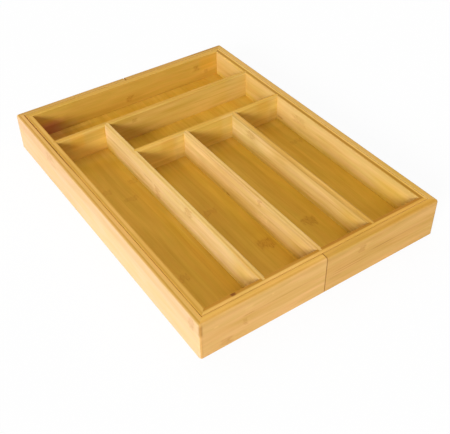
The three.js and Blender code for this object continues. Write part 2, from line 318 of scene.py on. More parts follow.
# Patches of other colour on the side of a board that shows: streaks, flecks and tone, and much painted shade
# and painted light, darker low down, in corners and in a wall's shadow, lighter or bluer where a shade is
# lifted. The middle in the object on the two axes that the side runs along, the length along the grain and
# the width across it, all in millimetres, the tint and the strength
# Patches shared by the long dividers: painted shade at the foot, and painted light that lifts the front
# wall's shadow at the near end
LONG_DIVIDER_LIGHT_AND_SHADE = ((0, 14.4, 900, 16, FOOT_SHADE, 1), (-197, 25, 54, 50, PALE, 1), (-204, 17, 26, 22, CREAM, 1))
PATCHES = {
    # The paler upper strip and the mitre's corner strip are the wood's; the wide patch on the back part is
    # painted shade
    "left_end_wall": [
        (0, 42.5, 900, 23, ROSY, 1), (140, 25, 280, 100, DUSK, 1), (-222, 41, 5.5, 22, CORNER, 0.6),
    ],
    # The first patch is painted shade along the top of the face; the rest are streaks, pale flecks and the
    # mitre's corner strip
    "left_front_wall": [
        (-85, 51, 300, 20, SHADE_TINT, 1), (-103, 30.5, 18, 1.8, BROWN, 0.5), (-57, 30.3, 110, 1.8, BROWN, 0.35),
        (-142.5, 36.5, 7, 2.6, PALE, 0.9), (-103, 39, 14, 8, PALE, 0.4), (-73, 41.5, 4, 3, PALE, 0.9),
        (-162.5, 10, 10, 58, CORNER, 0.3), (-161.5, 41, 8, 22, CORNER, 0.8),
    ],
    # The first patch is painted shade along the top of the face; the rest are streaks and a dark strip at the
    # far corner
    "right_front_wall": [
        (85, 51, 300, 20, SHADE_TINT, 0.8), (95, 28, 110, 2.4, BROWN, 0.35), (80, 28, 42, 2, BROWN, 0.4),
        (30, 24, 58, 1.6, BROWN, 0.4), (32, 20.5, 68, 1.8, BROWN, 0.4), (12, 16, 22, 5, BROWN, 0.2),
        (162.5, 22, 4, 50, BROWN, 0.8),
    ],
    # All but the last patch are painted shade and painted light: darker low down and dark red in the
    # back-left corner, lighter and bluer where that shadow is lifted; the last is a warm streak
    "tray_back_wall": [
        (0, 14, 900, 34, SHADE_TINT, 0.9), (-142, 18, 90, 42, RED_CORNER_SHADE, 1), (-116, 46, 70, 26, PALE, 0.7),
        (-20, 20, 100, 24, SHADE_TINT, 0.7), (-45, 15.5, 100, 5, PALE, 0.9), (-120, 33, 44, 14, CREAM, 1),
        (-104, 17, 50, 18, PAINTED_FILL, 1), (-104, 17, 50, 18, PALE, 0.8), (75, 20, 120, 8, PALE, 0.6),
        (128, 39, 34, 28, AMBER, 0.8),
    ],
    # All but the last patch are painted shade and painted light: darker low down, at the foot, in the front
    # wall's shadow and towards the back, lighter where a shade is lifted; the last is a small mark
    "tray_right_wall": [
        (0, 16, 900, 52, SHADE_TINT, 1), (0, 14.4, 900, 16, FOOT_SHADE, 1), (-185, 26, 130, 46, DIM, 1),
        (-197, 25, 54, 50, PALE, 0.8), (-10, 18, 80, 14, PALE, 0.8), (-175, 30, 44, 46, DIM, 0.3),
        (140, 35, 200, 100, SHADE_TINT, 0.9), (50, 21, 16, 4, BROWN, 0.7),
    ],
    # Painted shade low down, painted fill light at the right end and painted light over the left
    # compartment's part, with a warm patch
    "rear_cross_divider": [
        (60, 14, 330, 34, SHADE_TINT, 0.6), (142, 35, 80, 100, PAINTED_FILL, 0.7), (-118, 42, 26, 30, AMBER, 0.8),
        (-100, 20, 80, 44, CREAM, 0.9), (-100, 46, 80, 20, PALE, 0.6),
    ],
    # Painted light low down and bluer at the right ends of the compartments, painted shade low in those
    # corners, and two golden patches
    "second_cross_divider": [
        (35, 18, 300, 24, PALE, 0.9), (-26, 42, 34, 24, GOLD, 0.5), (123, 42, 34, 24, GOLD, 0.5),
        (-9, 22, 22, 30, SHADE_TINT, 0.8), (141, 22, 22, 30, SHADE_TINT, 0.9), (-7, 35, 34, 100, PAINTED_FILL, 1),
        (67, 35, 34, 100, PAINTED_FILL, 1), (142, 35, 34, 100, PAINTED_FILL, 0.7),
    ],
    # Besides the shared patches: painted shade low down, in the front wall's shadow, in a band across the
    # middle and near the back, and painted light over the front part; the small brown and pink ones are
    # streaks and flecks
    "long_divider_left": [
        *LONG_DIVIDER_LIGHT_AND_SHADE, (0, 14, 900, 48, SHADE_TINT, 0.6), (-206, 45, 110, 34, FRONT, 0.8),
        (-195, 28, 90, 44, DIM, 0.8), (0, 35, 900, 12, SHADY, 0.3), (126, 18, 50, 22, DIM, 1),
        (-90, 22, 110, 22, PALE, 0.7), (22, 35, 28, 3, BROWN, 0.4), (90, 37.5, 72, 1.6, BROWN, 0.6),
        (29, 22.5, 13, 4, PINK, 1), (75, 23, 12, 5, PINK, 1),
    ],
    # Besides the shared patches: painted shade low down, in the front wall's shadow and in a band across the
    # middle, and painted highlight on the face; the small brown one is a streak
    "long_divider_middle": [
        *LONG_DIVIDER_LIGHT_AND_SHADE, (0, 16, 900, 52, SHADE_TINT, 1), (-206, 45, 90, 34, FRONT, 0.2),
        (-195, 28, 90, 44, DIM, 0.6), (0, 35, 900, 12, SHADY, 0.4), (30, 45, 130, 30, PALE, 1),
        (44, 25, 60, 30, PALE, 0.7), (-41, 17, 9, 3, BROWN, 0.8),
    ],
    # Besides the shared patches: painted shade low down, in the front wall's shadow and in a band across the
    # front part, and painted highlight, partly cooler, on the face
    "long_divider_right": [
        *LONG_DIVIDER_LIGHT_AND_SHADE, (0, 16, 900, 52, SHADE_TINT, 1), (-206, 45, 90, 34, FRONT, 0.4),
        (-195, 28, 90, 44, DIM, 0.8), (-90, 35, 160, 12, SHADY, 0.4), (45, 37, 200, 50, PALE, 1),
        (45, 37, 180, 60, COOL, 0.5), (44, 26, 70, 30, PALE, 0.9), (-17, 37, 48, 13, PALE, 0.5),
    ],
    # All but the last four are painted shade and painted light: darker in the rear compartments, near the
    # front wall and in the back-left corner, lighter and bluer beside the lit divider faces and in shaded
    # corners; the last four are a darker and a paler strip and two pale joint lines
    "tray_floor": [
        (0, 175, 84, 900, GOLD, 0.2), (60, 95, 80, 300, GOLD, 0.2), (145, 133, 220, 60, COOL, 1),
        (-135, 196, 80, 90, RED_CORNER_SHADE, 0.5), (-80, 20, 280, 44, PALE, 1), (-95, 125, 50, 76, PALE, 0.9),
        (-6, -10, 230, 36, PALE, 0.9), (68, -10, 230, 24, PALE, 0.7), (140, 10, 180, 34, COOL, 0.6),
        (130, -176, 70, 60, SHADE_TINT, 0.5), (-50, -110, 220, 30, SHADE_TINT, 0.7), (20, 95, 50, 120, SHADY, 0.35),
        (-124, -130, 240, 44, SHADE_TINT, 0.6), (35, 54, 40, 230, PAINTED_FILL, 1), (-110, 128, 40, 76, PAINTED_FILL, 1),
        (72, 140, 130, 190, PAINTED_FILL, 0.5), (20, 202, 16, 290, PAINTED_FILL, 0.8), (-82, -35, 330, 8, PAINTED_FILL, 0.6),
        (138, 48, 24, 30, PALE, 1), (141, 118, 24, 22, PALE, 1), (40, 118, 24, 60, SHADY, 0.5),
        (-86, 116, 40, 20, PAINTED_FILL, 0.9), (120, 50, 12, 50, PAINTED_FILL, 0.6), (-95, 204, 16, 90, CREAM, 0.9),
        (-98, 202, 18, 90, PAINTED_FILL, 1), (-17.4, -90, 300, 21.7, PALE, 0.4),
        (-39, -90, 300, 21.7, OLIVE, 0.25), (-84, -85, 130, 1.4, PALE, 0.7),
        (-88, -85, 150, 1.2, PALE, 0.6),
    ],
}

# Knuckles of the cane and pale or dark scars, given as the patches are
KNUCKLES = {
    "left_end_wall": [(-208.5, 41, 12, 19, BROWN, 0.6), (121, 40.5, 24, 18, BROWN, 0.45)],
    "left_front_wall": [(-129, 7, 13, 11, BROWN, 0.6), (-107.5, 21, 6, 11, BROWN, 0.5)],
    "right_front_wall": [(48, 38, 9, 11, BROWN, 0.6)],
    "tray_back_wall": [
        (-2.8, 25, 10, 10, BROWN, 0.8), (109, 36, 10, 10, BROWN, 0.8), (126, 26, 7, 7, BROWN, 0.7),
    ],
    "tray_right_wall": [(7, 37, 24, 13, BROWN, 0.5)],
    "rear_cross_divider": [(-34, 41.5, 8, 6, BROWN, 0.8)],
    "long_divider_left": [(-70, 44, 20, 13, BROWN, 0.75), (0, 27, 11, 20, BROWN, 0.7)],
    "long_divider_middle": [(-105, 45, 7, 11, BROWN, 0.75), (-114, 29, 14, 16, PALE, 1)],
    "long_divider_right": [(14, 41, 18, 11, BROWN, 0.7)],
    "tray_floor": [
        (-125.9, -128, 12, 21, BROWN, 0.5), (-104.2, 21, 9, 21, BROWN, 0.4),
        (-125.9, 49, 9, 21, BROWN, 0.4), (-82.5, 52, 11, 21, BROWN, 0.45), (-39, -55, 11, 21, BROWN, 0.5),
        (-17.4, -136, 17, 21, BROWN, 0.8), (47.7, -135, 15, 21, BROWN, 0.75),
        (134.2, 0, 9, 21, BROWN, 0.45),
    ],
}

# Spots and streaks on a rim or in a corner, several of them painted shade: the middle in the object, the
# length, depth and width, all in millimetres, the tint and the strength
SPOTS = {
    # A dark streak along the gap on the back half of the rim: painted shade
    "left_end_wall": [((-154.2, 160, 50), (240, 2, 6), DARK, 1)],
    "right_front_wall": [((135, -217, 51), (110, 8, 14), DIM, 0.7)],
    "right_end_wall": [((157, -170, 51), (130, 8, 12), DIM, 0.6)],
    "right_back_wall": [((133, 219.5, 50), (84, 8, 10), MOSS, 1)],
    # A dark line along the foot: painted shade where the wall meets the floor
    "tray_back_wall": [((20, 205.3, 15.1), (250, 2, 1.5), BROWN, 0.4)],
    "tray_right_wall": [
        ((149, -170, 51), (110, 8, 12), DIM, 0.5), ((147, 150, 50), (120, 8, 5), CREAM, 0.8),
    ],
    # The last spot darkens the inner edge of the right half: painted shade
    "tray_front_wall": [
        ((-112, -206, 49.5), (8, 8, 5), DARK, 1), ((-112, -206, 49.5), (6, 8, 4), DARK, 1),
        ((90, -209.5, 51), (280, 8, 14), FRONT, 1), ((90, -205.5, 50), (280, 8, 14), SHADE_TINT, 0.9),
    ],
}


def a_length(name, description, default, low, high):
    """A property for a small length, given here in millimetres."""
    return bpy.props.FloatProperty(
        name=name, description=description, default=default * MM, min=low * MM, max=high * MM,
        precision=5, unit="LENGTH",
    )


def a_colour(name, description, default):
    return bpy.props.FloatVectorProperty(
        name=name, description=description, default=default, size=3, min=0, max=1, subtype="COLOR",
    )


def a_share(name, description, default):
    return bpy.props.FloatProperty(
        name=name, description=description, default=default, min=0, max=1, subtype="FACTOR",
    )


def a_strength(name, description, default, high):
    return bpy.props.FloatProperty(name=name, description=description, default=default, min=0, soft_max=high)


def an_angle(name, description, degrees):
    return bpy.props.FloatProperty(
        name=name, description=description, default=math.radians(degrees), subtype="ANGLE",
    )


class OrganizerShape(bpy.types.PropertyGroup):
    """Roundings and fits of the boards"""

    rim_radius: a_length("Rim radius", "Rounding of the outer rims and corners", 3, 0.5, 4)
    gap_radius: a_length("Gap radius", "Rounding of the two top edges along the sliding gap", 0.8, 0.2, 3)
    far_gap_radius: a_length("Far gap radius", "Rounding along the gap at the right and back", 0.2, 0.2, 3)
    compartment_radius: a_length(
        "Compartment radius", "Rounding of the dividers' tops and of the tray's inner rim", 2.5, 0.5, 3.5,
    )
    ease: a_length("Ease", "Sanded edge round a seam end and along the bottom of a wall", 0.45, 0.1, 1)
    seam_trim: a_length("Seam trim", "Length sanded off each front board at the seam", 0.05, 0, 0.5)
    seam_close: a_length("Seam close", "Length left on each back board, to shut the seam", 0.12, 0, 0.15)
    seam_hollow: a_length("Seam hollow", "Half the width of the hollow outside the back seam", 1.4, 0.2, 2.5)
    seam_depth: a_length("Seam depth", "Depth of the hollow outside the back seam", 4.5, 0.5, 6)
    glue_line: a_length("Glue line", "Hairline between two boards that are glued together", 0.04, 0.01, 0.2)
    runner_play: a_length("Runner play", "Space between a runner key and its groove", 0.3, 0.1, 0.5)
    arc_segments: bpy.props.IntProperty(
        name="Arc segments", description="Facets in a quarter round of the rim", default=8, min=2, max=16,
    )


class OrganizerBamboo(bpy.types.PropertyGroup):
    """Colours and finish of the bamboo"""

    end: a_colour("End walls", "Pale side grain of the end walls", (0.79, 0.57, 0.315))
    wall: a_colour("Walls", "Honey bamboo of the other walls", (0.76, 0.46, 0.12))
    divider: a_colour("Dividers", "Honey bamboo of the dividers", (0.8, 0.49, 0.13))
    floor: a_colour("Floors", "Bamboo of the floor boards", (0.68, 0.39, 0.04))
    runner: a_colour("Runners", "Bare bamboo of the runner keys", (0.58, 0.34, 0.1))
    coat: a_share("Lacquer", "Weight of the thin satin lacquer", 0.03)


class OrganizerStage(bpy.types.PropertyGroup):
    """Lamps, surroundings and camera"""

    key_strength: a_strength("Key strength", "Strength of the soft lamp from the left", 2.75, 10)
    key_azimuth: an_angle("Key azimuth", "Turn of the key lamp from the left towards the front", 29)
    key_elevation: an_angle("Key elevation", "Height of the key lamp above the horizon", 22.5)
    key_softness: an_angle("Key softness", "Angular size of the key lamp", 20)
    back_strength: a_strength("Back strength", "Strength of the soft lamp from behind", 1.15, 10)
    back_azimuth: an_angle("Back azimuth", "Turn of the back lamp from the back towards the right", 12)
    back_elevation: an_angle("Back elevation", "Height of the back lamp above the horizon", 66)
    back_softness: an_angle("Back softness", "Angular size of the back lamp", 90)
    ambient: a_strength("Ambient", "Strength of the even light from all round", 0.36, 2)
    shadow_share: a_share("Shadow share", "How much of the shadow shows on the white floor", 0.08)
    camera_place: bpy.props.FloatVectorProperty(
        name="Camera place", description="Where the camera stands",
        default=(-0.40426, -0.62983, 0.60641), size=3, subtype="TRANSLATION", unit="LENGTH",
    )
    camera_azimuth: an_angle("Camera azimuth", "Turn of the camera about the vertical", -33.881)
    camera_elevation: an_angle("Camera elevation", "How steeply the camera looks down", 41.367)
    camera_roll: an_angle("Camera roll", "Tilt of the camera about its own line of sight", -0.872)
    camera_lens: bpy.props.FloatProperty(
        name="Camera lens", description="Focal length for the 36 mm sensor", default=60.532, min=10, max=300,
        unit="CAMERA",
    )


# Places

def box_of(nodes):
    """Lowest and highest corner of several nodes together."""
    boxes = [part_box(node) for node in nodes]
    low = Vector([min(box[0][i] for box in boxes) for i in range(3)])
    high = Vector([max(box[1][i] for box in boxes) for i in range(3)])
    return low, high


def wall_box(node, ring):
    """A wall's box, with its mitred ends carried out to the corners of its ring."""
    low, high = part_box(node)
    ring_low, ring_high = box_of(ring)
    for i in (0, 1):
        if abs(low[i] - ring_low[i]) < MITRE_REACH:
            low[i] = ring_low[i]
        if abs(high[i] - ring_high[i]) < MITRE_REACH:
            high[i] = ring_high[i]
    return low, high


def placing(way, low, high):
    """The matrix from a board's own frame to its place. Heights are kept as they are."""
    along, through, across = (Vector(axis) for axis in WAYS[way])
    step = along + through
    corner = [low[i] if step[i] > 0 else high[i] if step[i] < 0 else 0 for i in range(3)]
    return Matrix.Translation(corner) @ Matrix((along, through, across)).transposed().to_4x4()


def board_size(way, low, high):
    """A box's length along the board's grain and its thickness."""
    return [abs((high - low).dot(Vector(axis))) for axis in WAYS[way][:2]]


def trim_end(way, low, high, end, by):
    """Takes a length off the start of a box along the board's grain, end 0, or off its far end, end 1."""
    for i, side in enumerate(WAYS[way][0]):
        if side:
            corner = low if (side > 0) == (end == 0) else high
            corner[i] += side * by * (1, -1)[end]


# Modelling

def edges_on(bm, x=None, y=None, z=None):
    """The edges that lie wholly on each of the planes given."""
    planes = [(i, at) for i, at in enumerate((x, y, z)) if at is not None]
    return [
        edge for edge in bm.edges
        if all(abs(vert.co[i] - at) < TINY for vert in edge.verts for i, at in planes)
    ]


def crisp(edges):
    """Those of the edges where two faces meet at a square corner that stands out."""
    return [
        edge for edge in edges
        if edge.is_manifold and edge.is_convex and edge.calc_face_angle() > SQUARE_ANGLE
    ]


def round_over(bm, edges, radius, segments):
    bmesh.ops.bevel(
        bm, geom=list(edges), offset=radius, offset_type="OFFSET", segments=segments,
        profile=0.5, affect="EDGES", clamp_overlap=True, material=-1,
    )


def facets(shape, radius):
    """Facets of a quarter round, half as many for the small ones along the gap."""
    return shape.arc_segments if radius > shape.gap_radius else shape.arc_segments // 2


def put(bm, matrix):
    """Takes a whole board to another place."""
    bmesh.ops.transform(bm, matrix=matrix, verts=bm.verts[:])


def plain_board(span, thickness, bottom, top, notch=None):
    """A square-edged board in its own frame. The notch is an inner groove's depth, bottom and top."""
    section = [(0, bottom), (thickness, bottom)]
    if notch:
        depth, low, high = notch
        root = thickness - depth
        section += [(thickness, low), (root, low), (root, high), (thickness, high)]
    section += [(thickness, top), (0, top)]
    bm = bmesh.new()
    face = bm.faces.new([bm.verts.new((0, y, z)) for y, z in section])
    swept = bmesh.ops.extrude_face_region(bm, geom=[face])["geom"]
    far_end = [item for item in swept if isinstance(item, bmesh.types.BMVert)]
    bmesh.ops.translate(bm, verts=far_end, vec=(span, 0, 0))
    bmesh.ops.recalc_face_normals(bm, faces=bm.faces[:])
    return bm


def mitre(bm, x, lean, glue_line):
    """Cuts an end at 45 degrees through the outer corner at x. Lean is 1 at the start, -1 at the end."""
    bmesh.ops.bisect_plane(
        bm, geom=bm.verts[:] + bm.edges[:] + bm.faces[:], dist=TINY / 10, clear_outer=True,
        plane_co=(x + lean * glue_line, 0, 0), plane_no=Vector((-lean, 1, 0)).normalized(),
    )
    bmesh.ops.holes_fill(bm, edges=[edge for edge in bm.edges if edge.is_boundary], sides=0)


def wall_board(shape, span, thickness, bottom, top, radii, notch, mitred):
    """A wall with its outer and inner top edges rounded, its ends mitred or eased, and its floor groove."""
    outer, inner = radii
    bm = plain_board(span, thickness, bottom, top, notch)
    edges = edges_on(bm, y=0, z=top)
    for end, x in zip(mitred, (0, span)):
        if end:
            edges += edges_on(bm, x=x, y=0) + edges_on(bm, x=x, z=top)
    round_over(bm, edges, outer, facets(shape, outer))
    round_over(bm, edges_on(bm, y=thickness, z=top), inner, facets(shape, inner))
    eased = crisp(edges_on(bm, z=bottom))
    for end, x in zip(mitred, (0, span)):
        if not end:
            notch_edges = edges_on(bm, x=x, y=thickness - notch[0])
            notch_edges += edges_on(bm, x=x, z=notch[1]) + edges_on(bm, x=x, z=notch[2])
            eased += [e for e in crisp(edges_on(bm, x=x)) if e not in notch_edges and e not in eased]
    round_over(bm, eased, shape.ease, EASE_SEGMENTS)
    for end, x, lean in zip(mitred, (0, span), (1, -1)):
        if end:
            mitre(bm, x, lean, shape.glue_line)
    return bm


def divider_board(shape, node, grow=0):
    """A divider in the object's frame. Grown by the glue line, it is the housing that its ends go into."""
    low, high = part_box(node)
    low.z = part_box("tray_floor")[1].z + shape.glue_line
    way = divider_way(node)
    span, thickness = board_size(way, low, high)
    bm = plain_board(span + 2 * grow, thickness + 2 * grow, low.z - grow, high.z + grow)
    tops = edges_on(bm, y=0, z=high.z + grow) + edges_on(bm, y=thickness + 2 * grow, z=high.z + grow)
    round_over(bm, tops, shape.compartment_radius + grow, shape.arc_segments)
    bmesh.ops.translate(bm, verts=bm.verts[:], vec=(-grow, -grow, 0))
    put(bm, placing(way, low, high))
    return bm


def housings(shape, node):
    """Cutters for the ends of the dividers that are glued into a board."""
    return [divider_board(shape, housed, shape.glue_line) for housed in HOUSED.get(node, ())]


def divider_way(node):
    return "front" if node in CROSS_DIVIDERS else "right"


def key_block(low, high):
    """A bar along X with half-round ends, seen from the front: a runner key, its seat or its groove."""
    bm = bmesh.new()
    bmesh.ops.create_cube(bm, size=1)
    bmesh.ops.scale(bm, verts=bm.verts[:], vec=high - low)
    bmesh.ops.translate(bm, verts=bm.verts[:], vec=(low + high) / 2)
    ends = [edge for edge in bm.edges if abs(edge.verts[0].co.y - edge.verts[1].co.y) > TINY]
    round_over(bm, ends, KEY_ROUNDING * (high.z - low.z), KEY_SEGMENTS)
    return bm


def grown(low, high, margin):
    return low - Vector((margin,) * 3), high + Vector((margin,) * 3)


def runner_groove(shape, node, half):
    """The stopped groove in a half's wall, as long as the half's travel needs."""
    low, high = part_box(node)
    low, high = grown(low, high, shape.runner_play)
    if half == "left_half":
        high.x += TRAVEL[half]
    else:
        low.x -= TRAVEL[half]
    if low.y < 0:
        high.y += OVERRUN
    else:
        low.y -= OVERRUN
    return key_block(low, high)


def seam_rod(shape):
    """An upright rod on the outer edge of the back seam, which hollows the two boards that meet there."""
    left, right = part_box("left_back_wall")[1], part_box("right_back_wall")[0]
    bm = bmesh.new()
    bmesh.ops.create_cone(bm, cap_ends=True, segments=ROD_SEGMENTS, radius1=1, radius2=1, depth=3 * left.z)
    bmesh.ops.scale(bm, verts=bm.verts[:], vec=(shape.seam_hollow, shape.seam_depth, 1))
    bmesh.ops.translate(bm, verts=bm.verts[:], vec=((left.x + right.x) / 2, left.y, left.z / 2))
    return bm


def as_object(bm, name):
    mesh = bpy.data.meshes.new(name)
    bm.to_mesh(mesh)
    bm.free()
    made = bpy.data.objects.new(name, mesh)
    bpy.context.scene.collection.objects.link(made)
    return made


def cut(bm, cutters, place):
    """Takes cutters, given in the object's frame, out of a board in its own frame."""
    if not cutters:
        return bm
    board = as_object(bm, "uncut_board")
    tools = []
    for cutter in cutters:
        put(cutter, place.inverted())
        bmesh.ops.recalc_face_normals(cutter, faces=cutter.faces[:])
        tool = as_object(cutter, "cutter")
        taken = board.modifiers.new("Cut", "BOOLEAN")
        taken.operation, taken.solver, taken.object = "DIFFERENCE", "EXACT", tool
        tools.append(tool)
    bpy.context.view_layer.update()
    evaluated = board.evaluated_get(bpy.context.evaluated_depsgraph_get())
    result = bmesh.new()
    result.from_mesh(evaluated.to_mesh())
    evaluated.to_mesh_clear()
    for spent in [board, *tools]:
        mesh = spent.data
        bpy.data.objects.remove(spent)
        bpy.data.meshes.remove(mesh)
    return result


def finish_board(bm, node, place, slot, number, blocks=(), knuckles=0.0):
    """Turns a board into its piece: normals, board coordinates, place, smooth roundings and bamboo."""
    bmesh.ops.remove_doubles(bm, verts=bm.verts[:], dist=TINY)
    bmesh.ops.recalc_face_normals(bm, faces=bm.faces[:])
    piece = as_object(bm, f"{node}_board")
    mesh = piece.data
    spots = [0.0] * (3 * len(mesh.vertices))
    mesh.vertices.foreach_get("co", spots)
    mesh.attributes.new("board", "FLOAT_VECTOR", "POINT").data.foreach_set("vector", spots)
    mesh.transform(place)
    mesh.shade_smooth()
    mesh.set_sharp_from_angle(angle=SMOOTH_ANGLE)
    mesh.materials.append(bamboo(node, place, slot, number, blocks, knuckles))
    weighted = piece.modifiers.new("Even shading", "WEIGHTED_NORMAL")
    weighted.keep_sharp = True
    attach(piece, frame["nodes"][node]["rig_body"])
    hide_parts(node)


# Shaders

class Graph:
    """Adds nodes to one node tree and joins them."""

    def __init__(self, tree):
        self.tree = tree

    def add(self, kind, inputs=None, **settings):
        made = self.tree.nodes.new(kind)
        for name, value in settings.items():
            setattr(made, name, value)
        for key, value in (inputs or {}).items():
            if isinstance(value, bpy.types.NodeSocket):
                self.tree.links.new(value, made.inputs[key])
            else:
                made.inputs[key].default_value = value
        return made

    def maths(self, operation, *values):
        return self.add("ShaderNodeMath", dict(enumerate(values)), operation=operation).outputs[0]

    plus = partialmethod(maths, "ADD")
    minus = partialmethod(maths, "SUBTRACT")
    times = partialmethod(maths, "MULTIPLY")
    times_plus = partialmethod(maths, "MULTIPLY_ADD")
    over = partialmethod(maths, "DIVIDE")
    size = partialmethod(maths, "ABSOLUTE")

    def vectors(self, operation, *values):
        return self.add("ShaderNodeVectorMath", dict(enumerate(values)), operation=operation).outputs[0]

    def ramp(self, value, start, end, low=0.0, high=1.0, smooth=True):
        """A value between start and end, remapped to low and high."""
        return self.add(
            "ShaderNodeMapRange",
            {"Value": value, "From Min": start, "From Max": end, "To Min": low, "To Max": high},
            interpolation_type="SMOOTHSTEP" if smooth else "LINEAR",
        ).outputs["Result"]

    def fade(self, value, name):
        """1 up to where one of the named soft edges starts, and 0 from its end."""
        return self.ramp(value, *FADES[name], 1.0, 0.0)

    def noise(self, where, name):
        """One of the named noises, drawn out along the grain."""
        along, across, detail, roughness = NOISES[name]
        scaled = self.vectors("MULTIPLY", where, (along, across, across))
        return self.add("ShaderNodeTexNoise", {
            "Vector": scaled, "Scale": 1.0, "Detail": detail, "Roughness": roughness,
        }).outputs["Fac"]

    def split(self, vector):
        return self.add("ShaderNodeSeparateXYZ", {0: vector}).outputs

    def mix(self, blend, factor, first, second):
        inputs = {0: factor, 6: first, 7: second}
        return self.add("ShaderNodeMix", inputs, data_type="RGBA", blend_type=blend).outputs[2]

    def tint(self, colour, mask, strength, tint):
        """Multiplies a colour by a tint where a mask lies."""
        return self.mix("MULTIPLY", self.times(mask, strength), colour, (*tint, 1.0))

    def group(self, name, inputs):
        return self.add("ShaderNodeGroup", inputs, node_tree=bpy.data.node_groups[name]).outputs


def new_graph(owner):
    """An empty node tree of a material or a world."""
    owner.use_nodes = True
    owner.node_tree.nodes.clear()
    return Graph(owner.node_tree)


def new_group(name, inputs, outputs):
    """An empty shader node group with its sockets, by type: its graph and its inputs."""
    tree = bpy.data.node_groups.new(name, "ShaderNodeTree")
    for in_out, sockets in (("INPUT", inputs), ("OUTPUT", outputs)):
        for kind, names in sockets.items():
            for socket in names:
                tree.interface.new_socket(name=socket, in_out=in_out, socket_type=f"NodeSocket{kind}")
    graph = Graph(tree)
    return graph, graph.add("NodeGroupInput").outputs


def make_strips_group():
    """The glued strip that a point is on: its number, chance tone, joint line and the way to its middle."""
    g, given = new_group(
        "bamboo strips", {"Float": ("Across", "Width", "Joint", "Seed")},
        {"Float": ("Tone", "Line", "From middle", "Strip")},
    )
    place = g.over(g.minus(given["Across"], given["Joint"]), given["Width"])
    strip = g.maths("FLOOR", place)
    key = g.times_plus(given["Seed"], TONE_STEP, strip)
    tone = g.add("ShaderNodeTexWhiteNoise", {"W": key}, noise_dimensions="1D").outputs["Value"]
    from_middle = g.times(g.minus(g.minus(place, strip), 0.5), given["Width"])
    line = g.fade(g.minus(g.times(given["Width"], 0.5), g.size(from_middle)), "joint")
    g.add("NodeGroupOutput", {"Tone": tone, "Line": line, "From middle": from_middle, "Strip": strip})


def make_knuckle_group():
    """One knuckle of the cane across a strip: a zigzag brown band with rims and flecks, and its pale halo."""
    g, given = new_group(
        "bamboo knuckle", {"Vector": ["Grain"], "Float": ("Along", "Across", "Length", "Width")},
        {"Float": ("Dark", "Pale")},
    )
    sway = g.minus(g.noise(given["Grain"], "sway"), 0.5)
    tooth = g.plus(g.over(given["Across"], TOOTH), TOOTH_START)
    tooth = g.size(g.minus(g.maths("FRACT", tooth), 0.5))
    along = g.over(given["Along"], g.times(given["Length"], 0.5))
    along = g.times_plus(sway, SWAY, along)
    along = g.times_plus(g.minus(tooth, 0.25), ZIGZAG, along)
    away = g.size(along)
    across = g.over(g.size(given["Across"]), g.times(given["Width"], 0.5))
    side, band = g.fade(across, "side"), g.fade(away, "band")
    rims = g.fade(g.size(g.minus(away, RIM_AT)), "rims")
    fleck = g.ramp(g.noise(given["Grain"], "fleck"), *FADES["fleck"])
    depth = g.times_plus(fleck, KNUCKLE_FLECKS, KNUCKLE_GROUND)
    depth = g.times_plus(g.times(rims, g.plus(fleck, KNUCKLE_GROUND)), KNUCKLE_FLECKS, depth)
    halo = g.fade(g.size(g.minus(along, HALO_AT)), "halo")
    g.add("NodeGroupOutput", {"Dark": g.times(g.times(band, side), depth), "Pale": g.times(halo, side)})


def make_patch_group():
    """A soft-edged block in the board's frame, for streaks, flecks, tinted plies, the bands of an edge, and
    painted shade and light.
    """
    g, given = new_group(
        "bamboo patch", {"Vector": ("Board", "Middle", "Size"), "Float": ["Softness"]},
        {"Float": ["Mask"]},
    )
    away = g.vectors("ABSOLUTE", g.vectors("SUBTRACT", given["Board"], given["Middle"]))
    parts = g.split(g.vectors("DIVIDE", away, g.vectors("MULTIPLY", given["Size"], (0.5, 0.5, 0.5))))
    start = g.minus(1.0, given["Softness"])
    first, second, third = (g.ramp(part, start, 1.0, 1.0, 0.0) for part in parts)
    g.add("NodeGroupOutput", {"Mask": g.times(g.times(first, second), third)})


